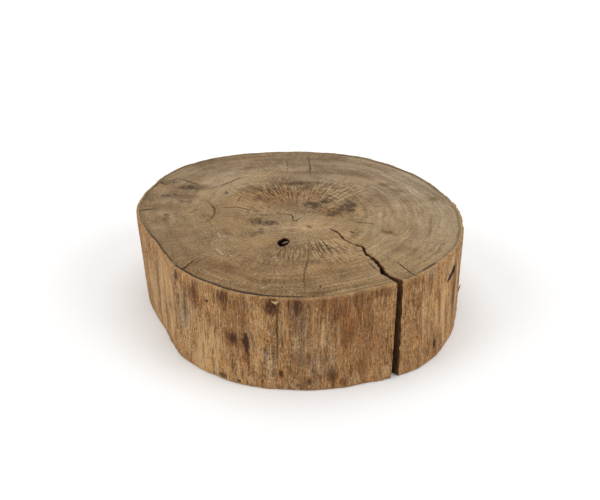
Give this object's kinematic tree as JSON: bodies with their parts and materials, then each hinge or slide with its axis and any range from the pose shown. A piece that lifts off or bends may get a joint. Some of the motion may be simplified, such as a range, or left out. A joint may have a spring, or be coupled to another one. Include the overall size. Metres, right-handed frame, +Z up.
{
  "type": "wood slice",
  "caption": "Thick round cross-cut of a debarked tree trunk with flat sawn faces, worn edges and a drying crack from near the pith to the rim; used as a display plinth, riser or stand.",
  "frame": {"origin": "middle of the slice's box, on the plane of its flat foot", "axes": "+Z up along the trunk, square to the two saw cuts; -Y towards the side where the drying crack reaches the rim"},
  "size_m": [0.4056, 0.3988, 0.12],
  "materials": {
    "weathered_wood": "dry weathered end grain and debarked long grain, matt"
  },
  "bodies": {
    "root": {"wood_slice": "weathered_wood"}
  },
  "joints": []
}
